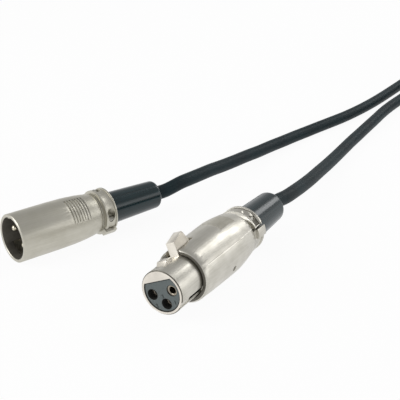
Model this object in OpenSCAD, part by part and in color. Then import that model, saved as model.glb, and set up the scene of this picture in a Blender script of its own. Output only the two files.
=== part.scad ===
// Microphone cable with a three-pin male plug, a three-socket female plug and its spare
// length wound in a tied coil. Millimetres, +Z up, both plugs lying on the ground at z = 0.

/* [Interface] */
// radius of the male barrel
barrel_r = 9.45; // [9.3:0.05:9.55]
// inner radius of the male barrel, where the female nose goes in
mouth_r = 8.2; // [8.15:0.05:8.3]
// outer radius of the female nose
nose_r = 8.0; // [7.95:0.05:8.05]
// radius of a contact pin
pin_r = 1.2; // [1.15:0.05:1.25]
// inner radius of a contact socket
socket_r = 1.25; // [1.2:0.05:1.3]
// radius of the circle the three contacts stand on
contact_circle_r = 4.15; // [4.1:0.05:4.2]
// depth of the male mouth, from its rim to the insert
mouth_depth = 14.5; // [14:0.1:15]

/* [Cable] */
// radius of the cable jacket
cable_r = 2.9; // [2.7:0.05:2.95]
// radius of one insulated core
core_r = 0.7; // [0.5:0.05:0.8]
// layers of the coil
coil_layers = 4; // [2:1:4]
// radius of the coil at the middle of its winding
coil_mean_r = 33; // [31:1:36]

/* [Fits] */
// radial clearance of a turning or seated round fit
fit_gap = 0.05; // [0.03:0.01:0.08]
// gap between the two halves of the cable clamp
clamp_gap = 0.6; // [0.4:0.1:0.8]
// clearance at each side of the latch in its slot
latch_side_gap = 0.3; // [0.2:0.05:0.4]

/* [Hidden] */

$fn = 96;
cut = 1;

// place of the male plug: centre of its mouth, and its turn about its own axis
male_x = -47.21;
male_y = 33.84;
male_roll = 33;

// place of the female plug: centre of its nose, its heading and its turn about its own axis
female_x = -30;
female_y = -36.19;
female_turn = 20.35;
female_roll = -25;

// male plug, distances from the mouth
male_seat = 24;
male_rear = 36.5;
male_length = 66.2;
male_clamp_w = 5.1;
male_patch_front = 22;
male_patch_grooves = 7;
male_patch_clock = 7;
male_screw_at = male_seat - 5;
male_screw_clock = 180;
male_neck_r = 7.95;
neck_ring_r = 7.6;
neck_ring_w = 0.25;
neck_ring_pitch = 0.6;
pin_tip = 2.3;
pin_tip_l = 0.9;
pin_stem_r = 1;
pin_shoulder = 1;
key_clock = 45;
key_w = 1.6;
key_inner_r = 7.8;
key_end = 12;
latch_pocket_r = 9.15;

// female plug, distances from the nose tip
rim = 12.8;
rim_chamfer = 0.6;
rim_inner_end = 15.3;
rim_gap = 0.35;
female_seat = 34.2;
belly_r = 10.6;
female_rear = 51.4;
female_neck_l = 2.2;
female_length = 80.5;
female_clamp_w = 5.4;
female_patch_front = 33.8;
female_patch_grooves = 12;
female_screw_at = female_seat - 2.6;
female_screw_clock = 131;
nose_inner_r = 7.3;
nose_wall = 1.2;
nose_opening_r = 7;
nose_opening_flat = 4.3;
keyway_w = 2.4;
keyway_r = 7.65;
keyway_end = 13.8;
keyway_window_w = 1.9;
keyway_window_front = 5.4;
keyway_window_r = 6.2;
insert_flat = 4;
insert_rear = female_seat - 1;
socket_wall = 0.6;
socket_1_front = 0.6;
socket_2_front = 3;
socket_depth = 15;

// latch, seen from its side as distance from the nose tip and height over the axis
latch_half_w = 2.6;
latch_front = 4.6;
latch_bottom = 6.4;
latch_top = 7.4;
hook_rise = 4.8;
hook_top_front = 6.1;
hook_back = 8.9;
hook_top = 8.8;
hook_half_w = 2.1;
tab_front = 12.7;
tab_front_top_at = 13;
tab_front_top = 12.4;
tab_back_top = 14.1;
tab_back_top_at = 19.2;
tab_back_mid_at = 20.6;
tab_back_mid = 11.2;
tab_back = 21.7;
tab_back_low = 8.7;
tab_half_w = 1.8;
tab_to_side = 0.45;
toe_front = 1.8;
toe_top = 6.95;
toe_half_w = 1.5;
pivot_at = female_seat - 3;
pivot_height = 5.9;
pivot_r = 0.7;
pivot_half_length = 4.4;
pivot_lug_half_l = 1.6;
knuckle_r = 1.3;
slot_half_w = latch_half_w + latch_side_gap;
slot_front = 3.5;
slot_back = female_seat - 1;
tab_slot_back = 22.6;
window_gap = 0.2;

// leaf spring under the latch
leaf_t = 0.35;
leaf_half_w = 1.8;
leaf_bend_r = 0.9;
leaf_bend_at = 28.3;
leaf_front = 25.5;

// cable clamp, the same on both plugs
clamp_r = 9;
ear_r = 9.8;
ear_depth = 3.8;
clamp_bore_r = 4.6;
chamber_r = 6.3;
flange_w = 2.5;
clamp_root = 0.4;
screw_y = 6.2;
screw_from_rear = 2.45;
screw_seat = 3;
screw_head_r = 1.6;
screw_head_h = 1.4;
screw_shank_r = 1;
screw_reach = 4.4;
screw_slot_w = 0.5;
screw_slot_d = 0.6;
head_gap = 0.15;
side_pocket_clock = 74;
side_pocket_w = 3.6;
side_pocket_d = 0.9;
side_pocket_edge = 0.6;
channel_d = 0.45;
channel_front = 1;
channel_rear = 0.6;

// solder cups and cores
cup_r = 1.5;
cup_root_r = 0.9;
cup_l = 4;
cup_depth = 3;
core_spread_r = 1.4;
core_lead = 0.9;
core_knee = 0.06;
core_run = 4;
core_end = 0.9;

// boots, radii at the clamp and at the start of their rounded ends
male_boot_front_r = 6.5;
male_boot_rear_r = 5.75;
female_boot_front_r = 7.1;
female_boot_rear_r = 6.3;
boot_round = 1.6;

// grip grooves
male_groove_pitch = 1.2;
female_groove_pitch = 0.8;
groove_share = 0.45;
groove_d = 0.3;
male_patch_half_w = 5;
female_patch_half_w = 7.4;

// set screws of the two inserts
set_r = 1;
set_inner_r = 6.2;
male_set_outer_r = 9.25;
female_set_outer_r = 10.2;

// outlines of the two shells where they narrow, as distance along the plug and radius
male_taper = [[male_rear - 20, barrel_r], [male_rear - 13, 9.32], [male_rear - 10, 9.15],
    [male_rear - 7.1, 8.9], [male_rear - 4.1, 8.5], [male_rear - 1.3, male_neck_r]];
female_taper = [[female_seat, belly_r], [female_rear - 13, belly_r], [female_rear - 9.8, 10.35],
    [female_rear - 6.6, 9.95], [female_rear - 3.4, 9.5], [female_rear - female_neck_l, clamp_r]];

// heights of the two axes over the ground
male_axis_z = barrel_r;
female_axis_z = belly_r;

// ------------------------------------------------------------------ coil and leads

// centre of the coil on the ground, and where its first and last loop leave it
coil_x = 324.3;
coil_y = 63.7;
coil_in = 110;
coil_out = -150;
coil_pitch = 2 * cable_r + 0.5;
full_turns = 11;
coil_turns = full_turns + (coil_in - coil_out) / 360;
layer_turns = coil_turns / coil_layers;
coil_r_out = coil_mean_r + coil_pitch * layer_turns / 2;
coil_r_in = coil_mean_r - coil_pitch * layer_turns / 2;
tie_t = 0.8;
tie_w = 12;
tie_gap = 0.3;
tie_at = -20;
tie_bow = 0.7;
coil_z = tie_t + tie_gap + cable_r;
rings_per_turn = 24;
coil_rings = ceil(coil_turns * rings_per_turn);

// distance in turns from the last place where the winding stood at its outer radius
function turned_in(t) = abs(t / layer_turns - 2 * floor((t / layer_turns + 1) / 2));
function coil_radius(t) = coil_r_out - (coil_r_out - coil_r_in) * turned_in(t);
function ease(u) = let (c = max(0, min(1, u))) c * c * (3 - 2 * c);
function climbed(t, k) = ease((t - k * layer_turns) * 2 + 0.5);
function layers_climbed(t, k) = k >= coil_layers ? 0 : climbed(t, k) + layers_climbed(t, k + 1);
function coil_height(t) = coil_z + coil_pitch * layers_climbed(t, 1);
function heading(a) = [cos(a), sin(a), 0];
function coil_point(t) = [coil_x, coil_y, 0]
    + coil_radius(t) * heading(coil_in - 360 * t) + [0, 0, coil_height(t)];

quarter = 90;
coil_in_way = heading(coil_in - quarter);
coil_out_way = heading(coil_out - quarter);
coil_start = coil_point(0) - 2 * cable_r * coil_in_way;
coil_end = coil_point(coil_turns) + 2 * cable_r * coil_out_way;
coil_route = concat([coil_start],
    [for (i = [0 : coil_rings]) coil_point(coil_turns * i / coil_rings)],
    [coil_end]);

// where each lead leaves its plug
male_way = heading(0);
female_way = heading(female_turn);
male_end = [male_x + male_length, male_y, male_axis_z];
female_end = [female_x, female_y, female_axis_z] + female_length * female_way;

male_route = concat(
    [male_end, male_end + 2 * cable_r * male_way],
    [[33.5, 35, 10.2], [40.1, 36.5, 9.9], [47.5, 38.6, 9.3], [55.2, 41.1, 8.5], [65, 44.2, 7.2],
    [74.8, 47.1, 6.2], [85, 50.1, 5.3], [95.1, 52.6, 4.5], [105.7, 55.5, 3.8],
    [116.2, 57.7, 3.3], [126.5, 59.7, 3], [136.7, 61.1, 2.9], [146.9, 62.4, 2.9],
    [157.4, 63.6, 2.9], [167.9, 64.9, 2.9], [178.1, 66.7, 2.9], [189.1, 69.1, 2.9],
    [200.7, 72.1, 2.9], [213, 75.7, 2.9], [226, 79.9, 2.9], [240, 84.5, 2.9], [254, 89.2, 2.9],
    [268, 93.4, 3], [282, 96.5, 3.4], [295.3, 98.6, 3.9]],
    [coil_start]);
female_route = concat(
    [female_end, female_end + 2 * cable_r * female_way],
    [[58.2, -4, 9.8], [65.9, -0.9, 9], [75, 3.2, 7.9], [84.9, 7.9, 6.8], [95.9, 13.6, 5.5],
    [107.2, 19.2, 4.4], [118.7, 24.8, 3.6], [130.6, 30.5, 3.1], [142.4, 35.9, 2.9],
    [153.8, 40.7, 2.9], [165.6, 45.7, 2.9], [178.2, 51, 2.9], [191.5, 56.7, 2.9],
    [204.3, 61.5, 2.9], [217.3, 65.7, 2.9], [229.3, 69.3, 3.2], [241.3, 72, 5.4],
    [253.3, 72.7, 9.4], [264.3, 71.1, 14], [273.3, 66.1, 18.4], [279.3, 58.9, 21.6]],
    [coil_end]);

// one ring of a tube's corners, square to the way the route runs there
function unit(v) = v / norm(v);
function way(p, i) = i == 0 ? unit(p[1] - p[0])
    : i == len(p) - 1 ? unit(p[i] - p[i - 1])
    : unit(unit(p[i + 1] - p[i]) + unit(p[i] - p[i - 1]));
function side(w) = unit(cross(w, [0, 0, 1]));
function ring(c, w, s, u, sides) = [for (k = [0 : sides - 1])
    let (a = (k + 0.5) * 360 / sides, q = c + cable_r * (cos(a) * s + sin(a) * u))
    [q[0], q[1], max(0, q[2])]];
function rings(p, sides) = [for (i = [0 : len(p) - 1])
    let (w = way(p, i), s = side(w))
    each ring(p[i], w, s, cross(s, w), sides)];
function skin(n, sides) = [for (i = [0 : n - 2], k = [0 : sides - 1], h = [0, 1])
    let (a = i * sides + k, b = i * sides + (k + 1) % sides)
    h == 0 ? [a, b, b + sides] : [a, b + sides, a + sides]];
function caps(n, sides) = [[for (k = [0 : sides - 1]) sides - 1 - k],
    [for (k = [0 : sides - 1]) (n - 1) * sides + k]];

// least gap of the coil to itself, measured between route points at least half a turn apart
half_turn = rings_per_turn / 2;
coil_gap = min([for (i = [0 : coil_rings - half_turn], j = [i + half_turn : coil_rings])
    norm(coil_route[i + 1] - coil_route[j + 1])]) - 2 * cable_r;

function path_length(p, i) = i >= len(p) - 1 ? 0 : norm(p[i + 1] - p[i]) + path_length(p, i + 1);
echo("coil gap", coil_gap, "coil", path_length(coil_route, 0),
    "male lead", path_length(male_route, 0), "female lead", path_length(female_route, 0),
    "coil radii", coil_r_in, coil_r_out, "start", coil_start, "end", coil_end);

// ------------------------------------------------------------------ shared shapes

module tube(p, sides) {
    polyhedron(points = rings(p, sides), faces = concat(skin(len(p), sides), caps(len(p), sides)));
}

module male_place() {
    translate([male_x, male_y, male_axis_z])
    rotate([male_roll, 0, 0])
    children();
}

module female_place() {
    translate([female_x, female_y, female_axis_z])
    rotate([0, 0, female_turn])
    rotate([female_roll, 0, 0])
    children();
}

// a profile of radius against distance, turned about the plug's axis
module turned(profile) {
    rotate([0, 90, 0])
    rotate_extrude()
    polygon(profile);
}

// a rod along the plug's axis
module rod(r, from, to) {
    translate([from, 0, 0])
    rotate([0, 90, 0])
    cylinder(r = r, h = to - from);
}

// a contact's place on its circle
module at_clock(k, r) {
    rotate([k, 0, 0])
    translate([0, 0, r])
    children();
}

// a side view of distance against height, as wide as twice half_w
module side_cut(half_w) {
    translate([0, half_w, 0])
    rotate([90, 0, 0])
    linear_extrude(height = 2 * half_w)
    children();
}

// grooves across a shell, all of one depth under its outline
module grip_grooves(from, count, pitch, outline, half_w) {
    intersection() {
        translate([from - cut, -half_w, 0])
        cube([count * pitch + 2 * cut, 2 * half_w, 2 * belly_r]);
        union() {
            for (i = [0 : count - 1]) {
                at = from + i * pitch;
                r = lookup(at, outline);
                turned([[r - groove_d, at],
                    [r + cut, at],
                    [r + cut, at + groove_share * pitch],
                    [r - groove_d, at + groove_share * pitch]]);
            }
        }
    }
}

// channel round a clamp between its two raised rims
module clamp_channel(rear, w) {
    turned([[clamp_r - channel_d, rear + channel_front],
        [clamp_r + cut, rear + channel_front],
        [clamp_r + cut, rear + w - channel_rear],
        [clamp_r - channel_d, rear + w - channel_rear]]);
}

// lower half of the cable clamp with the neck that carries it, one piece with its shell
module clamp_half(rear, w, neck) {
    difference() {
        union() {
            rod(chamber_r + 1, rear - neck - clamp_root, rear);
            difference() {
                union() {
                    difference() {
                        rod(clamp_r, rear - neck, rear + w);
                        clamp_channel(rear, w);
                    }
                    intersection() {
                        rod(ear_r, rear, rear + w);
                        translate([rear - cut, -ear_r, -ear_depth])
                        cube([w + 2 * cut, 2 * ear_r, ear_depth]);
                    }
                }
                translate([rear - neck - cut, -2 * clamp_r, -clamp_gap / 2])
                cube([w + neck + 2 * cut, 4 * clamp_r, 2 * clamp_r]);
            }
        }
        rod(chamber_r, rear - neck - 2 * clamp_root, rear - clamp_root);
        rod(clamp_bore_r, rear - cut, rear + w + cut);
        for (s = [-1, 1]) {
            translate([rear + screw_from_rear, s * screw_y, -screw_reach - 2 * fit_gap])
            cylinder(r = screw_shank_r + fit_gap, h = screw_reach + 2 * fit_gap);
        }
    }
}

module saddle(rear, w) {
    difference() {
        rod(clamp_r, rear, rear + w);
        clamp_channel(rear, w);
        rod(clamp_bore_r, rear - cut, rear + w + cut);
        translate([rear - cut, -2 * clamp_r, clamp_gap / 2 - 2 * clamp_r])
        cube([w + 2 * cut, 4 * clamp_r, 2 * clamp_r]);
        for (s = [-1, 1]) {
            translate([rear + screw_from_rear, s * screw_y, screw_seat])
            cylinder(r = screw_head_r + head_gap, h = clamp_r);
            translate([rear + screw_from_rear, s * screw_y, 0])
            cylinder(r = screw_shank_r + head_gap, h = clamp_r);
        }
    }
}

module clamp_screws(rear) {
    for (s = [-1, 1]) {
        translate([rear + screw_from_rear, s * screw_y, 0])
        difference() {
            union() {
                translate([0, 0, screw_seat])
                cylinder(r = screw_head_r, h = screw_head_h);
                translate([0, 0, -screw_reach])
                cylinder(r = screw_shank_r, h = screw_reach + screw_seat);
            }
            translate([-clamp_r / 2, -screw_slot_w / 2, screw_seat + screw_head_h - screw_slot_d])
            cube([clamp_r, screw_slot_w, cut]);
        }
    }
}

// boot held in the clamp by its flange; it tapers behind the clamp and ends in a round shoulder
module boot(rear, w, front_r, rear_r, end) {
    turned(concat(
        [[cable_r + fit_gap, end],
        [cable_r + fit_gap, rear - clamp_root - flange_w],
        [chamber_r - fit_gap, rear - clamp_root - flange_w],
        [chamber_r - fit_gap, rear - clamp_root],
        [clamp_bore_r - fit_gap, rear - clamp_root],
        [clamp_bore_r - fit_gap, rear + w],
        [front_r, rear + w]],
        [for (a = [0 : 15 : 90])
            [rear_r - boot_round * (1 - cos(a)), end - boot_round * (1 - sin(a))]]));
}

// contact tail with its solder cup, from its shoulder back
module cup(from, shoulder_r) {
    turned([[0, from - cut],
        [cup_root_r, from - cut],
        [cup_root_r, from],
        [shoulder_r, from],
        [shoulder_r, from + pin_shoulder],
        [cup_r, from + pin_shoulder],
        [cup_r, from + pin_shoulder + cup_l],
        [core_r + fit_gap, from + pin_shoulder + cup_l],
        [core_r + fit_gap, from + pin_shoulder + cup_l - cup_depth],
        [0, from + pin_shoulder + cup_l - cup_depth]]);
}

// one insulated core, from its solder cup to the cut end of the jacket
module core(clock, cup_end) {
    bend = cup_end + core_lead;
    slant = norm([core_run, contact_circle_r - core_spread_r]);
    lean = atan2(contact_circle_r - core_spread_r, core_run);
    rotate([clock, 0, 0])
    union() {
        translate([0, 0, contact_circle_r])
        rod(core_r, cup_end - cup_depth, bend);
        translate([bend, 0, contact_circle_r])
        sphere(r = core_r + core_knee, $fn = 48);
        translate([bend, 0, contact_circle_r])
        rotate([0, lean, 0])
        rod(core_r, 0, slant);
        translate([bend + core_run, 0, core_spread_r])
        sphere(r = core_r + core_knee, $fn = 48);
        translate([0, 0, core_spread_r])
        rod(core_r, bend + core_run, bend + core_run + core_end);
    }
}

male_cup_end = male_seat + pin_shoulder + cup_l;
female_cup_end = insert_rear + pin_shoulder + cup_l;
male_jacket = male_cup_end + core_lead + core_run + core_end;
female_jacket = female_cup_end + core_lead + core_run + core_end;

module set_hole(at, clock) {
    rotate([clock, 0, 0])
    translate([at, 0, set_inner_r])
    cylinder(r = set_r + fit_gap, h = clamp_r);
}

module set_screw(at, clock, outer) {
    rotate([clock, 0, 0])
    translate([at, 0, set_inner_r])
    difference() {
        cylinder(r = set_r, h = outer - set_inner_r);
        translate([-clamp_r, -screw_slot_w / 2, outer - set_inner_r - screw_slot_d])
        cube([2 * clamp_r, screw_slot_w, cut + screw_slot_d]);
    }
}

// ------------------------------------------------------------------ male plug

module male_shell() {
    color("silver")
    male_place()
    union() {
        difference() {
            turned(concat([[mouth_r + 0.2, 0],
                [barrel_r - 0.3, 0],
                [barrel_r, 0.3]],
                [for (p = male_taper) [p[1], p[0]]],
                [[neck_ring_r, male_rear - 1.3],
                [neck_ring_r, male_rear - 1.3 + neck_ring_w],
                [male_neck_r, male_rear - 1.3 + neck_ring_w],
                [male_neck_r, male_rear - 1.3 + neck_ring_pitch],
                [neck_ring_r, male_rear - 1.3 + neck_ring_pitch],
                [neck_ring_r, male_rear - 1.3 + neck_ring_pitch + neck_ring_w],
                [male_neck_r, male_rear - 1.3 + neck_ring_pitch + neck_ring_w],
                [male_neck_r, male_rear],
                [chamber_r, male_rear],
                [chamber_r, male_seat],
                [mouth_r, male_seat],
                [mouth_r, 0.2]]));
            rotate([male_patch_clock, 0, 0])
            grip_grooves(male_patch_front, male_patch_grooves, male_groove_pitch, male_taper,
                male_patch_half_w);
            intersection() {
                translate([rim - hook_back - window_gap, -slot_half_w - window_gap, -2 * barrel_r])
                cube([hook_back - hook_rise + 2 * window_gap, 2 * slot_half_w + 2 * window_gap,
                    2 * barrel_r]);
                rod(latch_pocket_r, 0, rim);
            }
            set_hole(male_screw_at, male_screw_clock);
        }
        for (k = [-key_clock, key_clock]) {
            rotate([k, 0, 0])
            intersection() {
                translate([0.3, -key_w / 2, key_inner_r])
                cube([key_end, key_w, mouth_r - key_inner_r + 0.4]);
                rod((mouth_r + barrel_r) / 2, 0, male_seat);
            }
        }
        clamp_half(male_rear, male_clamp_w, 0);
    }
}

module male_insert() {
    color("dimgray")
    male_place()
    difference() {
        rod(mouth_r - fit_gap, mouth_depth, male_seat);
        for (k = [-90, 0, 90]) {
            at_clock(k, contact_circle_r)
            rod(pin_stem_r + fit_gap, mouth_depth - cut, male_seat + cut);
        }
        set_hole(male_screw_at, male_screw_clock);
    }
}

module male_pin(clock) {
    color("lightgray")
    male_place()
    at_clock(clock, contact_circle_r)
    union() {
        turned([[0, pin_tip],
            [0.6, pin_tip],
            [0.95, pin_tip + 0.25],
            [pin_r, pin_tip + pin_tip_l],
            [pin_r, mouth_depth - fit_gap],
            [pin_stem_r, mouth_depth - fit_gap],
            [pin_stem_r, male_seat],
            [0, male_seat]]);
        cup(male_seat, cup_r + 0.2);
    }
}

module male_pin_1() {
    male_pin(-90);
}

module male_pin_2() {
    male_pin(90);
}

module male_pin_3() {
    male_pin(0);
}

module male_insert_screw() {
    color("gray")
    male_place()
    set_screw(male_screw_at, male_screw_clock, male_set_outer_r);
}

module male_clamp_saddle() {
    color("silver")
    male_place()
    saddle(male_rear, male_clamp_w);
}

module male_clamp_screws() {
    color("gray")
    male_place()
    clamp_screws(male_rear);
}

module male_boot() {
    color("darkslategray")
    male_place()
    boot(male_rear, male_clamp_w, male_boot_front_r, male_boot_rear_r, male_length);
}

module male_cable_end() {
    color("darkslategray")
    male_place()
    rod(cable_r, male_jacket, male_length);
}

module male_core_1() {
    color("white")
    male_place()
    core(-90, male_cup_end);
}

module male_core_2() {
    color("firebrick")
    male_place()
    core(90, male_cup_end);
}

module male_core_3() {
    color("royalblue")
    male_place()
    core(0, male_cup_end);
}

// ------------------------------------------------------------------ female plug

module female_shell() {
    color("silver")
    female_place()
    union() {
        difference() {
            turned(concat([[nose_r + rim_gap, rim],
                [9.4, rim],
                [9.95, rim + rim_chamfer],
                [10.3, rim + 8],
                [10.5, female_seat - 5]],
                [for (p = female_taper) [p[1], p[0]]],
                [[chamber_r, female_rear - female_neck_l],
                [chamber_r, female_rear - 4],
                [7.5, female_rear - 4],
                [7.5, female_seat],
                [nose_r + fit_gap, female_seat],
                [nose_r + fit_gap, rim_inner_end],
                [nose_r + rim_gap, rim_inner_end]]));
            grip_grooves(female_patch_front, female_patch_grooves, female_groove_pitch,
                female_taper, female_patch_half_w);
            translate([rim - cut, -slot_half_w, insert_flat])
            cube([tab_slot_back - rim + cut, 2 * slot_half_w, 2 * belly_r]);
            set_hole(female_screw_at, female_screw_clock);
        }
        clamp_half(female_rear, female_clamp_w, female_neck_l);
    }
}

module nose_opening(r, flat) {
    intersection() {
        children();
        translate([-female_seat, -2 * r, flat - 4 * r])
        cube([3 * female_seat, 4 * r, 4 * r]);
    }
}

// the window in the floor of each keyway
module keyway_windows() {
    for (k = [-180 + key_clock, 180 - key_clock]) {
        rotate([k, 0, 0])
        translate([keyway_window_front, -keyway_window_w / 2, keyway_window_r])
        cube([keyway_end - keyway_window_front, keyway_window_w, nose_r]);
    }
}

module female_nose() {
    color("silver")
    female_place()
    difference() {
        union() {
            turned([[0, 0],
                [nose_r - 0.3, 0],
                [nose_r, 0.3],
                [nose_r, female_seat],
                [nose_inner_r, female_seat],
                [nose_inner_r, nose_wall],
                [0, nose_wall]]);
            intersection() {
                rod(nose_r - 0.3, pivot_at - pivot_lug_half_l, pivot_at + pivot_lug_half_l);
                translate([0, -nose_r, insert_flat + fit_gap])
                cube([female_seat, 2 * nose_r, nose_r]);
            }
        }
        nose_opening(nose_opening_r, nose_opening_flat)
        rod(nose_opening_r, -cut, nose_wall + cut);
        translate([slot_front, -slot_half_w, insert_flat])
        cube([slot_back - slot_front, 2 * slot_half_w, nose_r]);
        for (k = [-180 + key_clock, 180 - key_clock]) {
            rotate([k, 0, 0])
            translate([-cut, -keyway_w / 2, keyway_r])
            cube([keyway_end + cut, keyway_w, nose_r]);
        }
        keyway_windows();
        translate([pivot_at, nose_r, pivot_height])
        rotate([90, 0, 0])
        cylinder(r = pivot_r + fit_gap, h = 2 * nose_r);
        set_hole(female_screw_at, female_screw_clock);
    }
}

module female_insert() {
    color("dimgray")
    female_place()
    difference() {
        union() {
            nose_opening(nose_opening_r, nose_opening_flat - fit_gap)
            rod(nose_opening_r - fit_gap, 0.3, nose_wall + 2 * fit_gap);
            nose_opening(nose_inner_r, insert_flat)
            rod(nose_inner_r - fit_gap, nose_wall, insert_rear);
        }
        for (k = [-90, 90, 180]) {
            at_clock(k, contact_circle_r)
            rod(socket_r + socket_wall + fit_gap, -cut, insert_rear + cut);
        }
        keyway_windows();
        set_hole(female_screw_at, female_screw_clock);
    }
}

module socket(clock, front) {
    color("gold")
    female_place()
    at_clock(clock, contact_circle_r)
    union() {
        turned([[socket_r + 0.2, front],
            [socket_r + socket_wall, front],
            [socket_r + socket_wall, insert_rear],
            [0, insert_rear],
            [0, socket_depth],
            [socket_r, socket_depth],
            [socket_r, front + 0.2]]);
        cup(insert_rear, socket_r + socket_wall + 0.4);
    }
}

module female_socket_1() {
    socket(90, socket_1_front);
}

module female_socket_2() {
    socket(-90, socket_2_front);
}

module female_socket_3() {
    socket(180, socket_2_front);
}

module female_latch() {
    color("silver")
    female_place()
    difference() {
        union() {
            side_cut(latch_half_w)
            polygon([[latch_front, latch_bottom],
                [pivot_at, latch_bottom],
                [pivot_at, latch_top],
                [latch_front, latch_top]]);
            side_cut(hook_half_w)
            polygon([[hook_rise, latch_top],
                [hook_rise + 0.2, latch_bottom + 0.2],
                [hook_back, latch_bottom + 0.2],
                [hook_back, hook_top],
                [hook_top_front, hook_top]]);
            translate([0, -tab_to_side, 0])
            side_cut(tab_half_w)
            polygon([[tab_front, latch_bottom + 0.2],
                [tab_back, latch_bottom + 0.2],
                [tab_back, tab_back_low],
                [tab_back_mid_at, tab_back_mid],
                [tab_back_top_at, tab_back_top],
                [tab_front_top_at, tab_front_top]]);
            side_cut(toe_half_w)
            polygon([[toe_front, latch_bottom],
                [latch_front + cut, latch_bottom],
                [latch_front + cut, toe_top],
                [toe_front, toe_top]]);
            translate([pivot_at, latch_half_w, pivot_height])
            rotate([90, 0, 0])
            cylinder(r = knuckle_r, h = 2 * latch_half_w);
        }
        translate([pivot_at, nose_r, pivot_height])
        rotate([90, 0, 0])
        cylinder(r = pivot_r + fit_gap, h = 2 * nose_r);
    }
}

module latch_pin() {
    color("gray")
    female_place()
    translate([pivot_at, pivot_half_length, pivot_height])
    rotate([90, 0, 0])
    cylinder(r = pivot_r, h = 2 * pivot_half_length);
}

module latch_spring() {
    upper = insert_flat + 2 * leaf_bend_r;
    color("gray")
    female_place()
    side_cut(leaf_half_w)
    union() {
        translate([leaf_front - 2, insert_flat])
        square([leaf_bend_at - leaf_front + 2, leaf_t]);
        translate([leaf_front, upper - leaf_t])
        square([leaf_bend_at - leaf_front, leaf_t]);
        difference() {
            translate([leaf_bend_at, insert_flat + leaf_bend_r])
            circle(r = leaf_bend_r);
            translate([leaf_bend_at, insert_flat + leaf_bend_r])
            circle(r = leaf_bend_r - leaf_t);
            translate([leaf_bend_at - 2 * leaf_bend_r, insert_flat - cut])
            square([2 * leaf_bend_r, 2 * leaf_bend_r + 2 * cut]);
        }
    }
}

module female_insert_screw() {
    color("gray")
    female_place()
    set_screw(female_screw_at, female_screw_clock, female_set_outer_r);
}

module female_clamp_saddle() {
    color("silver")
    female_place()
    difference() {
        saddle(female_rear, female_clamp_w);
        for (k = [-side_pocket_clock, side_pocket_clock]) {
            rotate([k, 0, 0])
            translate([female_rear + side_pocket_edge, -side_pocket_w / 2, clamp_r - side_pocket_d])
            cube([female_clamp_w - 2 * side_pocket_edge, side_pocket_w, clamp_r]);
        }
    }
}

module female_clamp_screws() {
    color("gray")
    female_place()
    clamp_screws(female_rear);
}

module female_boot() {
    color("darkslategray")
    female_place()
    boot(female_rear, female_clamp_w, female_boot_front_r, female_boot_rear_r, female_length);
}

module female_cable_end() {
    color("darkslategray")
    female_place()
    rod(cable_r, female_jacket, female_length);
}

module female_core_1() {
    color("white")
    female_place()
    core(90, female_cup_end);
}

module female_core_2() {
    color("firebrick")
    female_place()
    core(-90, female_cup_end);
}

module female_core_3() {
    color("royalblue")
    female_place()
    core(180, female_cup_end);
}

// ------------------------------------------------------------------ cable and its tie

module male_lead() {
    color("darkslategray")
    tube(male_route, 8);
}

module female_lead() {
    color("darkslategray")
    tube(female_route, 8);
}

module cable_coil() {
    color("darkslategray")
    tube(coil_route, 6);
}

tie_turn = (coil_in - tie_at) / 360;
tie_inner = coil_radius(ceil(layer_turns - tie_turn) + tie_turn) - cable_r - tie_bow - tie_gap;
tie_outer = coil_radius(tie_turn) + cable_r + tie_gap;
tie_height = tie_gap * 2 + coil_pitch * (coil_layers - 1) + 2 * cable_r;

module coil_tie() {
    color("dimgray")
    translate([coil_x, coil_y, 0])
    rotate([0, 0, tie_at])
    difference() {
        translate([tie_inner - tie_t, -tie_w / 2, 0])
        cube([tie_outer - tie_inner + 2 * tie_t, tie_w, tie_height + 2 * tie_t]);
        translate([tie_inner, -tie_w, tie_t])
        cube([tie_outer - tie_inner, 2 * tie_w, tie_height]);
    }
}

male_shell();
male_insert();
male_pin_1();
male_pin_2();
male_pin_3();
male_insert_screw();
male_clamp_saddle();
male_clamp_screws();
male_boot();
male_cable_end();
male_core_1();
male_core_2();
male_core_3();
female_shell();
female_nose();
female_insert();
female_socket_1();
female_socket_2();
female_socket_3();
female_latch();
latch_pin();
latch_spring();
female_insert_screw();
female_clamp_saddle();
female_clamp_screws();
female_boot();
female_cable_end();
female_core_1();
female_core_2();
female_core_3();
male_lead();
female_lead();
cable_coil();
coil_tie();
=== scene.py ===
import math

import bpy
from mathutils import Matrix, Quaternion, Vector


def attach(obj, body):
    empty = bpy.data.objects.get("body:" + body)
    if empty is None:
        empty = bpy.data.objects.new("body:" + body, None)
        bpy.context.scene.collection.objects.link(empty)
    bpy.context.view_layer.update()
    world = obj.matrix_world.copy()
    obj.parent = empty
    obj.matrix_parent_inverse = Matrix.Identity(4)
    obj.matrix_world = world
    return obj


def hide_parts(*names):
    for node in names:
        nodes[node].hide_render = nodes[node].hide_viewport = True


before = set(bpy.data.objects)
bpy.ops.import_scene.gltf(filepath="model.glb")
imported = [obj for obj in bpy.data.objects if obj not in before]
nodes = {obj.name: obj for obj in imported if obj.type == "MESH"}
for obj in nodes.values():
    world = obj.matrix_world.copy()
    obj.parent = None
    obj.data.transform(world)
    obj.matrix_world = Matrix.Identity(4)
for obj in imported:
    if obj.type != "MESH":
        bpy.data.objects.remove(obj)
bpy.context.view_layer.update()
scene = bpy.context.scene


# Camera. It stands in front of the plugs, a little above them, and looks along the two leads.
camera_data = bpy.data.cameras.new("camera")
camera_data.sensor_width = 36
camera_data.lens = 79.86
camera = bpy.data.objects.new("camera", camera_data)
camera.location = (-0.1803, -0.2416, 0.1553)
camera.rotation_mode = "QUATERNION"
look = Vector((0.57716, 0.71108, -0.40155)).to_track_quat("-Z", "Y")
camera.rotation_quaternion = look @ Quaternion((0, 0, 1), math.radians(-0.345))
scene.collection.objects.link(camera)
scene.camera = camera


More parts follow.
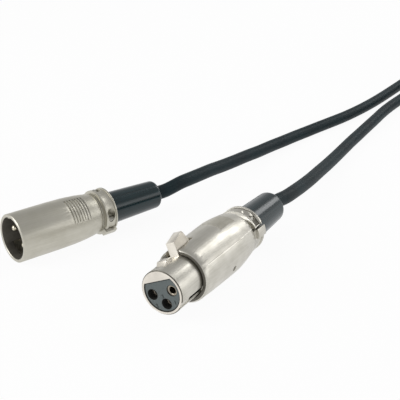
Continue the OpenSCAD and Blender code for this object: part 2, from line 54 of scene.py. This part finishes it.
# Studio. A pale paper floor, a sky that is white at the horizon and grey above, and three lamps:
# a broad one on the left, a strip on the right that draws the long highlight of the female plug
# and its boot, and a low broad one at the front right for the sides of both plugs.
def linear(code):
    """Linear colour of an sRGB hex code."""
    channels = [int(code[i : i + 2], 16) / 255 for i in (0, 2, 4)]
    return [c / 12.92 if c <= 0.04045 else ((c + 0.055) / 1.055) ** 2.4 for c in channels] + [1]


def add_node(tree, kind, inputs={}, **settings):
    """Adds one node with its settings; an input is a value or the socket that feeds it."""
    node = tree.nodes.new(kind)
    for name, value in settings.items():
        setattr(node, name, value)
    for name, value in inputs.items():
        if isinstance(value, bpy.types.NodeSocket):
            tree.links.new(value, node.inputs[name])
        else:
            node.inputs[name].default_value = value
    return node


def new_material(name):
    """An empty material with its output node."""
    material = bpy.data.materials.new(name)
    material.use_nodes = True
    material.node_tree.nodes.clear()
    return material, material.node_tree


paper, tree = new_material("matt_white_paper")
rays = add_node(tree, "ShaderNodeLightPath")
seen = add_node(
    tree, "ShaderNodeMath", {0: rays.outputs["Is Camera Ray"], 1: rays.outputs["Is Glossy Ray"]},
    operation="MAXIMUM",
)
seen = add_node(
    tree, "ShaderNodeMath", {0: seen.outputs[0], 1: rays.outputs["Is Transmission Ray"]},
    operation="MAXIMUM",
)
share = add_node(tree, "ShaderNodeMath", {0: seen.outputs[0], 1: 0.94}, operation="MULTIPLY")
sheet = add_node(tree, "ShaderNodeBsdfDiffuse", {"Color": linear("f4f4f4")})
glow = add_node(tree, "ShaderNodeEmission", {"Color": (1, 1, 1, 1), "Strength": 1})
mixed = add_node(
    tree, "ShaderNodeMixShader", {0: share.outputs[0], 1: sheet.outputs[0], 2: glow.outputs[0]}
)
add_node(tree, "ShaderNodeOutputMaterial", {"Surface": mixed.outputs[0]})
bpy.ops.object.select_all(action="DESELECT")
bpy.ops.mesh.primitive_plane_add(size=6, location=(0.1, 0.02, 0))
floor = bpy.context.object
floor.name = "paper_floor"
floor.data.materials.append(paper)

world = bpy.data.worlds.new("studio")
scene.world = world
world.use_nodes = True
tree = world.node_tree
tree.nodes.clear()
rays = add_node(tree, "ShaderNodeLightPath")
way = add_node(tree, "ShaderNodeTexCoord")
way = add_node(tree, "ShaderNodeSeparateXYZ", {0: way.outputs["Generated"]})
level = add_node(
    tree, "ShaderNodeMapRange",
    {"Value": way.outputs["Z"], "From Max": 0.55, "To Min": 1, "To Max": 0.52},
    interpolation_type="SMOOTHSTEP",
)
soft = add_node(
    tree, "ShaderNodeBackground", {"Color": linear("fbfbfb"), "Strength": level.outputs["Result"]}
)
white = add_node(tree, "ShaderNodeBackground", {"Color": (1, 1, 1, 1), "Strength": 1})
mixed = add_node(
    tree, "ShaderNodeMixShader",
    {0: rays.outputs["Is Camera Ray"], 1: soft.outputs[0], 2: white.outputs[0]},
)
add_node(tree, "ShaderNodeOutputWorld", {"Surface": mixed.outputs[0]})

for name, place, size, watts in (
    ("left_lamp", (-0.75, 0.3, 0.5), (0.6, 0.6), 4),
    ("right_strip", (0.78, 0.05, 0.54), (0.26, 0.5), 1.35),
    ("front_lamp", (0.62, -0.56, 0.26), (0.95, 0.3), 1),
):
    lamp = bpy.data.lights.new(name, "AREA")
    lamp.shape = "RECTANGLE"
    lamp.size, lamp.size_y = size
    lamp.energy = watts
    placed = bpy.data.objects.new(name, lamp)
    placed.location = place
    aim = Vector((0, 0, 0.01)) - Vector(place)
    placed.rotation_euler = aim.to_track_quat("-Z", "Y").to_euler()
    scene.collection.objects.link(placed)


# Cable. One round two-core shielded cable with an extruded PVC jacket, 5.8 mm across and three
# metres long. It runs from the male boot to the coil, round it, and back to the female boot.
cable_r = 0.0029
male_front = Vector((-0.04721, 0.03384, 0.00945))
male_roll = 33
female_front = Vector((-0.03, -0.03619, 0.0106))
female_turn = math.radians(20.35)
female_roll = -25
male_length = 0.0662
female_length = 0.0805
male_way = Vector((1, 0, 0))
female_way = Vector((math.cos(female_turn), math.sin(female_turn), 0))
male_end = male_front + male_length * male_way
female_end = female_front + female_length * female_way
male_stretch = [
    (33.5, 35, 10.2), (40.1, 36.5, 9.9), (47.5, 38.6, 9.3), (55.2, 41.1, 8.5), (65, 44.2, 7.2),
    (74.8, 47.1, 6.2), (85, 50.1, 5.3), (95.1, 52.6, 4.5), (105.7, 55.5, 3.8), (116.2, 57.7, 3.3),
    (126.5, 59.7, 3), (136.7, 61.1, 2.9), (146.9, 62.4, 2.9), (157.4, 63.6, 2.9),
    (167.9, 64.9, 2.9), (178.1, 66.7, 2.9), (189.1, 69.1, 2.9), (200.7, 72.1, 2.9),
    (213, 75.7, 2.9), (226, 79.9, 2.9), (240, 84.5, 2.9), (254, 89.2, 2.9), (268, 93.4, 3),
    (282, 96.5, 3.4), (295.3, 98.6, 3.9),
]
female_stretch = [
    (58.2, -4, 9.8), (65.9, -0.9, 9), (75, 3.2, 7.9), (84.9, 7.9, 6.8), (95.9, 13.6, 5.5),
    (107.2, 19.2, 4.4), (118.7, 24.8, 3.6), (130.6, 30.5, 3.1), (142.4, 35.9, 2.9),
    (153.8, 40.7, 2.9), (165.6, 45.7, 2.9), (178.2, 51, 2.9), (191.5, 56.7, 2.9),
    (204.3, 61.5, 2.9), (217.3, 65.7, 2.9), (229.3, 69.3, 3.2), (241.3, 72, 5.4),
    (253.3, 72.7, 9.4), (264.3, 71.1, 14), (273.3, 66.1, 18.4), (279.3, 58.9, 21.6),
]
coil_centre = Vector((0.3243, 0.0637, 0))
coil_base = 0.004
coil_pitch = 2 * cable_r + 0.0005
coil_turns = 11 + 260 / 360
layer_turns = coil_turns / 4
coil_first = math.radians(110)
coil_last = coil_first - 2 * math.pi * coil_turns
coil_mean_r = 0.033
coil_swing = coil_pitch * layer_turns / 2


def coil_point(t):
    """The cable's middle t turns into the coil, which winds in and out and climbs four layers."""
    wave = abs(t / layer_turns - 2 * math.floor((t / layer_turns + 1) / 2))
    radius = coil_mean_r + coil_swing * (1 - 2 * wave)
    climbs = [min(1, max(0, (t - k * layer_turns) * 2 + 0.5)) for k in (1, 2, 3)]
    height = coil_base + coil_pitch * sum(c * c * (3 - 2 * c) for c in climbs)
    angle = coil_first - 2 * math.pi * t
    return coil_centre + Vector((radius * math.cos(angle), radius * math.sin(angle), height))


def smooth_route(points, parts):
    """A curve through the points that passes each of them without a kink."""
    made = []
    for i in range(len(points) - 1):
        a = points[max(i - 1, 0)]
        b, c = points[i], points[i + 1]
        d = points[min(i + 2, len(points) - 1)]
        for k in range(parts):
            u = k / parts
            made.append(
                0.5 * (2 * b + (c - a) * u + (2 * a - 5 * b + 4 * c - d) * u * u
                       + (3 * b - a - 3 * c + d) * u * u * u)
            )
    return made + [points[-1]]


turn_in = Vector((math.sin(coil_first), -math.cos(coil_first), 0))
turn_out = Vector((math.sin(coil_last), -math.cos(coil_last), 0))
coil_start = coil_point(0) - 2 * cable_r * turn_in
coil_end = coil_point(coil_turns) + 2 * cable_r * turn_out
male_route = [male_end, male_end + 2 * cable_r * male_way]
male_route += [Vector(p) / 1000 for p in male_stretch] + [coil_start]
female_route = [female_end, female_end + 2 * cable_r * female_way]
female_route += [Vector(p) / 1000 for p in female_stretch] + [coil_end]
coil_steps = round(coil_turns * 48)
cable_route = smooth_route(male_route, 5)
cable_route += [coil_point(coil_turns * i / coil_steps) for i in range(coil_steps + 1)]
cable_route += smooth_route(female_route, 5)[::-1]

# The jacket's PVC is blue-black and nearly matt, with faint clouds 11 mm across. The grain of the
# die is drawn 0.4 mm across, coarser than the real one, so that it shows.
jacket, tree = new_material("extruded_pvc_jacket")
grain = add_node(tree, "ShaderNodeTexCoord")
fine = add_node(
    tree, "ShaderNodeTexNoise", {"Vector": grain.outputs["Object"], "Scale": 2400, "Detail": 3}
)
broad = add_node(tree, "ShaderNodeTexNoise", {"Vector": grain.outputs["Object"], "Scale": 90})
tone = add_node(tree, "ShaderNodeValToRGB", {"Fac": broad.outputs["Fac"]})
tone.color_ramp.elements[0].position, tone.color_ramp.elements[1].position = 0.35, 0.65
tone.color_ramp.elements[0].color = linear("081a1f")
tone.color_ramp.elements[1].color = linear("0c2328")
bump = add_node(
    tree, "ShaderNodeBump", {"Height": fine.outputs["Fac"], "Strength": 0.15, "Distance": 0.0001}
)
shader = add_node(
    tree, "ShaderNodeBsdfPrincipled",
    {"Base Color": tone.outputs["Color"], "Roughness": 0.5, "IOR": 1.5,
     "Specular IOR Level": 0.17, "Normal": bump.outputs[0]},
)
add_node(tree, "ShaderNodeOutputMaterial", {"Surface": shader.outputs[0]})

curve = bpy.data.curves.new("cable", "CURVE")
curve.dimensions = "3D"
curve.bevel_depth = cable_r
curve.bevel_resolution = 6
curve.use_fill_caps = True
spline = curve.splines.new("POLY")
spline.points.add(len(cable_route) - 1)
for point, place in zip(spline.points, cable_route):
    point.co = (*place, 1)
curve.materials.append(jacket)
cable = bpy.data.objects.new("cable", curve)
scene.collection.objects.link(cable)
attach(cable, "cable")
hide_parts("male_lead", "cable_coil", "female_lead")


# Shells. Zinc die castings, tumbled so that their edges are eased and then nickel plated. The
# plate is a warm grey with faint blotches from the bath and fine lines from polishing along the
# plug. The male shell is satin, the female shell and its nose are bright.
def plug_frame(material_tree, front, roll, turn, grain):
    """Object coordinates turned into a plug's own frame and divided by the grain's three sizes."""
    place = add_node(material_tree, "ShaderNodeTexCoord")
    return add_node(
        material_tree, "ShaderNodeMapping",
        {"Vector": place.outputs["Object"], "Location": front,
         "Rotation": (math.radians(roll), 0, turn), "Scale": grain},
        vector_type="TEXTURE",
    )


def nickel(name, dark, light, roughness, grit, front, roll, turn, seam=None):
    """Nickel plate with blotches 5 mm across, polishing lines 15 mm long and 0.3 mm wide, a grit
    drawn 0.4 mm across so that it shows and, at the clock angle seam, the line 0.4 mm wide where
    the mould parted."""
    material, tree = new_material(name)
    place = add_node(tree, "ShaderNodeTexCoord")
    cloud = add_node(
        tree, "ShaderNodeTexNoise", {"Vector": place.outputs["Object"], "Scale": 220, "Detail": 5}
    )
    along = plug_frame(tree, front, roll, turn, (0.015, 0.0003, 0.0003))
    lines = add_node(
        tree, "ShaderNodeTexNoise", {"Vector": along.outputs[0], "Scale": 1, "Detail": 3}
    )
    mix = add_node(
        tree, "ShaderNodeMath", {0: cloud.outputs["Fac"], 1: lines.outputs["Fac"]}, operation="ADD"
    )
    tone = add_node(
        tree, "ShaderNodeMapRange",
        {"Value": mix.outputs[0], "From Min": 0.75, "From Max": 1.25},
    )
    colour = add_node(tree, "ShaderNodeValToRGB", {"Fac": tone.outputs[0]})
    colour.color_ramp.elements[0].color = linear(dark)
    colour.color_ramp.elements[1].color = linear(light)
    haze = add_node(
        tree, "ShaderNodeMapRange",
        {"Value": tone.outputs[0], "To Min": roughness * 1.1, "To Max": roughness * 0.9},
    )
    sand = add_node(
        tree, "ShaderNodeTexNoise", {"Vector": place.outputs["Object"], "Scale": 2600, "Detail": 2}
    )
    rough = add_node(
        tree, "ShaderNodeMath", {0: sand.outputs["Fac"], 1: lines.outputs["Fac"]}, operation="ADD"
    )
    bump = add_node(
        tree, "ShaderNodeBump", {"Height": rough.outputs[0], "Strength": grit, "Distance": 0.0001}
    )
    if seam is not None:
        parted = plug_frame(tree, front, roll + seam, turn, (0.0002, 0.0002, 0.0002))
        parted = add_node(tree, "ShaderNodeSeparateXYZ", {0: parted.outputs[0]})
        parted = add_node(
            tree, "ShaderNodeMath", {0: parted.outputs["Y"]}, operation="ABSOLUTE"
        )
        parted = add_node(
            tree, "ShaderNodeMath", {0: parted.outputs[0], 1: 1}, operation="MINIMUM"
        )
        bump = add_node(
            tree, "ShaderNodeBump",
            {"Height": parted.outputs[0], "Strength": 1, "Distance": 0.0001,
             "Normal": bump.outputs[0]},
        )
    shader = add_node(
        tree, "ShaderNodeBsdfPrincipled",
        {"Base Color": colour.outputs[0], "Metallic": 1, "Roughness": haze.outputs[0],
         "Normal": bump.outputs[0]},
    )
    add_node(tree, "ShaderNodeOutputMaterial", {"Surface": shader.outputs[0]})
    return material


def plain(name, colour, roughness, metallic, grit_scale, grit):
    """A moulded or turned surface: one colour, with slight wear in clouds 4 mm across and a fine
    grain that is drawn 0.3 to 0.8 mm across so that it shows."""
    material, tree = new_material(name)
    place = add_node(tree, "ShaderNodeTexCoord")
    sand = add_node(
        tree, "ShaderNodeTexNoise",
        {"Vector": place.outputs["Object"], "Scale": grit_scale, "Detail": 3},
    )
    cloud = add_node(
        tree, "ShaderNodeTexNoise", {"Vector": place.outputs["Object"], "Scale": 240, "Detail": 3}
    )
    shade = add_node(
        tree, "ShaderNodeMapRange",
        {"Value": cloud.outputs["Fac"], "To Min": 0.82, "To Max": 1.18},
    )
    tint = add_node(
        tree, "ShaderNodeMix", {"Factor": 1, 6: linear(colour), 7: shade.outputs[0]},
        data_type="RGBA", blend_type="MULTIPLY",
    )
    bump = add_node(
        tree, "ShaderNodeBump",
        {"Height": sand.outputs["Fac"], "Strength": grit, "Distance": 0.0001},
    )
    haze = add_node(
        tree, "ShaderNodeMapRange",
        {"Value": cloud.outputs["Fac"], "To Min": roughness * 0.8, "To Max": roughness * 1.2},
    )
    shader = add_node(
        tree, "ShaderNodeBsdfPrincipled",
        {"Base Color": tint.outputs[2], "Metallic": metallic, "Roughness": haze.outputs[0],
         "Normal": bump.outputs[0]},
    )
    add_node(tree, "ShaderNodeOutputMaterial", {"Surface": shader.outputs[0]})
    return material


def eased(part, piece_name, ease, material, body):
    """A copy of a part with its corners merged and its sharp edges rounded by ease."""
    bpy.ops.object.select_all(action="DESELECT")
    piece = bpy.data.objects.new(piece_name, nodes[part].data.copy())
    piece.data.materials.clear()
    piece.data.materials.append(material)
    scene.collection.objects.link(piece)
    bpy.context.view_layer.objects.active = piece
    piece.select_set(True)
    bpy.ops.object.mode_set(mode="EDIT")
    bpy.ops.mesh.select_all(action="SELECT")
    bpy.ops.mesh.remove_doubles(threshold=0.000001)
    bpy.ops.mesh.dissolve_limited(angle_limit=math.radians(0.3))
    bpy.ops.object.mode_set(mode="OBJECT")
    bevel = piece.modifiers.new("eased_edges", "BEVEL")
    bevel.limit_method = "ANGLE"
    bevel.angle_limit = math.radians(40)
    bevel.width = ease
    bevel.segments = 2
    bpy.ops.object.modifier_apply(modifier=bevel.name)
    bpy.ops.object.shade_smooth_by_angle(angle=math.radians(30))
    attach(piece, body)
    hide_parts(part)
    return piece


satin_nickel = nickel(
    "satin_nickel_plate", "bbb8ac", "c4c1b6", 0.42, 0.03, male_front, male_roll, 0
)
bright_nickel = nickel(
    "bright_nickel_plate", "bebbb1", "cecbc2", 0.36, 0.03,
    female_front, female_roll, female_turn, seam=82,
)
seamless_nickel = nickel(
    "bright_nickel_without_seam", "bebbb1", "cecbc2", 0.36, 0.03,
    female_front, female_roll, female_turn,
)
male_shell = eased("male_shell", "male_barrel", 0.00012, satin_nickel, "cable")
female_shell = eased(
    "female_shell", "female_body", 0.00012, bright_nickel, "cable"
)
female_nose = eased(
    "female_nose", "female_sleeve", 0.0001, seamless_nickel, "cable"
)

# Painted shade: the bore of the male shell and the front of the female shell are a darker grey
# zinc. The nose's broken front edge is a dark grey, painted shade, and its front face a lighter
# nickel, painted light, as are the floors of the fine grip grooves.
female_place = (
    Matrix.Translation(female_front) @ Matrix.Rotation(female_turn, 4, "Z")
    @ Matrix.Rotation(math.radians(female_roll), 4, "X")
)
to_plug = female_place.inverted()
shade_painted_zinc = plain("zinc_casting_with_painted_shade", "6b6860", 0.5, 0.5, 2200, 0.2)
# Painted shade on the nose's broken edge.
shade_painted_edge = plain("nickel_edge_with_painted_shade", "68655d", 0.45, 0.9, 2200, 0.1)
# Painted light on the nose's front face.
light_painted_face = plain("nickel_face_with_painted_light", "e2dcd2", 0.35, 1, 2600, 0.03)
# Painted light in the grip grooves.
light_painted_grooves = plain("nickel_grooves_with_painted_light", "e6e4dc", 0.6, 0.4, 2200, 0.1)
mouth_r = 0.0083
mouth_depth = 0.03
male_shell.data.materials.append(shade_painted_zinc)
# The bore's faces get the darker grey, painted shade.
for face in male_shell.data.polygons:
    middle = face.center - male_front
    if math.hypot(middle.y, middle.z) < mouth_r and 0.0003 < middle.x < mouth_depth:
        face.material_index = 1
nose_rim = 0.0004
nose_edge_r = 0.0076
female_nose.data.materials.append(shade_painted_edge)
female_nose.data.materials.append(light_painted_face)
# The nose's front face gets painted light and its broken edge painted shade.
for face in female_nose.data.polygons:
    slant = face.normal.dot(female_way)
    middle = to_plug @ face.center
    if slant < -0.95 and middle.x < nose_rim:
        face.material_index = 2
    elif slant < -0.2 and middle.x < nose_rim and math.hypot(middle.y, middle.z) > nose_edge_r:
        face.material_index = 1
patch_front = 0.0338
patch_rear = 0.0434
patch_half_w = 0.00745
patch_low = 0.002
groove_pitch = 0.0008
groove_w = 0.00036
shell_step = 0.02
female_shell.data.materials.append(shade_painted_zinc)
female_shell.data.materials.append(light_painted_grooves)
# The shell's front faces get painted shade and the faces in the grip grooves painted light.
for face in female_shell.data.polygons:
    middle = to_plug @ face.center
    along_patch = patch_front - groove_pitch / 4 < middle.x < patch_rear
    in_patch = along_patch and middle.z > patch_low and abs(middle.y) < patch_half_w
    if face.normal.dot(female_way) < -0.95 and middle.x < shell_step:
        face.material_index = 1
    elif in_patch and (middle.x - patch_front) % groove_pitch < groove_w:
        face.material_index = 2


# Clamps. Each saddle is a zinc casting like its shell, held by two slotted steel screws whose
# heads sit in open recesses at its sides. Their zinc plate is a smoother and darker grey.
eased("male_clamp_saddle", "male_saddle", 0.0002, satin_nickel, "cable")
eased("female_clamp_saddle", "female_saddle", 0.0002, seamless_nickel, "cable")
zinc_steel = plain("zinc_plated_steel", "a9a79f", 0.32, 1, 2500, 0.05)
eased("male_clamp_screws", "male_saddle_screws", 0.0001, zinc_steel, "cable")
eased("female_clamp_screws", "female_saddle_screws", 0.0001, zinc_steel, "cable")


def coat(material, *names):
    """Gives a material to parts of the frame whose shape is already right."""
    for name in names:
        nodes[name].data.materials.clear()
        nodes[name].data.materials.append(material)


coat(zinc_steel, "male_insert_screw", "female_insert_screw", "latch_pin", "latch_spring")


# Latch. A nickel-plated steel lever with a wedge-shaped thumb tab; all its edges are rounded,
# and its two sides are a darker grey than the rest, painted shade.
latch_nickel = nickel(
    "bright_nickel_on_steel", "dcd6ca", "e8e3d9", 0.32, 0.03,
    female_front, female_roll, female_turn,
)
lever = eased("female_latch", "latch_lever", 0.0003, latch_nickel, "latch")
lever.data.materials.append(plain("nickel_steel_with_painted_shade", "c6c0b4", 0.5, 0.9, 2200, 0.1))
# The lever's two sides get the painted shade.
for face in lever.data.polygons:
    if abs((to_plug.to_3x3() @ face.normal).y) > 0.95:
        face.material_index = 1


# Inserts and contacts. The inserts are moulded in glass-filled nylon, matt and slightly grainy.
# The pins are turned from brass with round noses and silver plated, smooth and bright. The
# sockets are drilled and tinned, a duller grey.
dark_nylon = plain("dark_moulded_nylon", "4a4a45", 0.5, 0, 1500, 0.2)
coat(dark_nylon, "male_insert")
grey_nylon = plain("grey_moulded_nylon", "586060", 0.5, 0, 1500, 0.2)
# Painted shade on the raised figures.
shade_painted_figures = plain("nylon_figures_with_painted_shade", "343b3a", 0.45, 0, 1500, 0.1)
shaded_nylon = plain("shaded_moulded_nylon", "1c1d1b", 0.6, 0, 1500, 0.2)

# The female insert: its holes are in the shade, and so are the narrow gap to the nose and a
# shallow step round each hole, which are inset into its front face.
face_depth = 0.0006
edge_depth = 0.0008
carrier = eased("female_insert", "socket_carrier", 0.0001, grey_nylon, "cable")
carrier.data.materials.append(shaded_nylon)
bpy.ops.object.mode_set(mode="EDIT")
bpy.ops.mesh.select_mode(type="FACE")
bpy.ops.mesh.select_all(action="DESELECT")
bpy.ops.object.mode_set(mode="OBJECT")
for face in carrier.data.polygons:
    depth = (to_plug @ face.center).x
    if depth > edge_depth and abs(face.normal.dot(female_way)) < 0.5:
        face.material_index = 1
    elif depth < face_depth and face.normal.dot(female_way) < -0.99:
        face.select = True
    elif depth < edge_depth:
        face.material_index = 1
for width, from_axis, from_flat in ((0.00012, 0, 0), (0.00022, 0.0064, 0.0037)):
    bpy.ops.object.mode_set(mode="EDIT")
    bpy.ops.mesh.inset(thickness=width, use_even_offset=True)
    bpy.ops.object.mode_set(mode="OBJECT")
    for face in carrier.data.polygons:
        middle = to_plug @ face.center
        at_front = middle.x < face_depth and face.normal.dot(female_way) < -0.99
        outside = math.hypot(middle.y, middle.z) > from_axis or middle.z > from_flat
        if at_front and outside and not face.select:
            face.material_index = 1

# The contacts' numbers are raised 0.1 mm from the insert's face, one beside each contact; their
# darker grey is painted shade.
figure_plane = 0.0003
for figure, across, up in (
    ("1", -0.0036, -0.0042), ("2", 0.0042, -0.0042), ("3", 0.0004, -0.0014)
):
    bpy.ops.object.select_all(action="DESELECT")
    bpy.ops.object.text_add()
    mark = bpy.context.object
    mark.name = "contact_figure_" + figure
    mark.data.body = figure
    mark.data.size = 0.0019
    mark.data.offset = 0.00003
    mark.data.extrude = 0.0001
    mark.data.align_x = mark.data.align_y = "CENTER"
    bpy.ops.object.convert(target="MESH")
    mark.data.materials.append(shade_painted_figures)
    mark.matrix_world = female_place @ Matrix(
        ((0, 0, -1, figure_plane), (-1, 0, 0, across), (0, 1, 0, up), (0, 0, 0, 1))
    )
    bpy.ops.object.transform_apply(location=True, rotation=True, scale=True)
    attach(mark, "cable")

silvered = plain("silver_plated_brass", "d9d2bd", 0.2, 1, 3000, 0.02)
coat(silvered, "male_pin_1", "male_pin_2", "male_pin_3")
tinned = plain("tinned_brass", "a39b8d", 0.35, 1, 3000, 0.02)
coat(tinned, "female_socket_1", "female_socket_2", "female_socket_3")


# Boots. Soft PVC moulded on a polished tool: blue-black and glossy, with faint draw lines.
def boot_pvc(name, front, roll, turn):
    """Glossy soft PVC with shallow draw lines along the boot, 1 mm apart."""
    material, tree = new_material(name)
    along = plug_frame(tree, front, roll, turn, (0.03, 0.001, 0.001))
    lines = add_node(
        tree, "ShaderNodeTexNoise", {"Vector": along.outputs[0], "Scale": 1, "Detail": 2}
    )
    bump = add_node(
        tree, "ShaderNodeBump",
        {"Height": lines.outputs["Fac"], "Strength": 0.25, "Distance": 0.0002},
    )
    tone = add_node(tree, "ShaderNodeValToRGB", {"Fac": lines.outputs["Fac"]})
    tone.color_ramp.elements[0].position, tone.color_ramp.elements[1].position = 0.35, 0.65
    tone.color_ramp.elements[0].color = linear("0b1f23")
    tone.color_ramp.elements[1].color = linear("122a2f")
    shader = add_node(
        tree, "ShaderNodeBsdfPrincipled",
        {"Base Color": tone.outputs["Color"], "Roughness": 0.2, "IOR": 1.5,
         "Normal": bump.outputs[0]},
    )
    add_node(tree, "ShaderNodeOutputMaterial", {"Surface": shader.outputs[0]})
    return material


coat(boot_pvc("moulded_pvc_male_boot", male_front, male_roll, 0), "male_boot")
coat(
    boot_pvc("moulded_pvc_female_boot", female_front, female_roll, female_turn), "female_boot"
)


# Inside the plugs: the cable's ends and its cores in smooth coloured PVC. Round the coil: a strap
# of woven nylon, dull and coarse.
coat(jacket, "male_cable_end", "female_cable_end")
coat(plain("white_core_pvc", "e8e6de", 0.4, 0, 2000, 0.05), "male_core_1", "female_core_1")
coat(plain("red_core_pvc", "b3201c", 0.4, 0, 2000, 0.05), "male_core_2", "female_core_2")
coat(plain("blue_core_pvc", "1f4fa8", 0.4, 0, 2000, 0.05), "male_core_3", "female_core_3")
coat(plain("woven_nylon_strap", "1c1d20", 0.8, 0, 1200, 0.4), "coil_tie")

scene.view_settings.view_transform = "Standard"
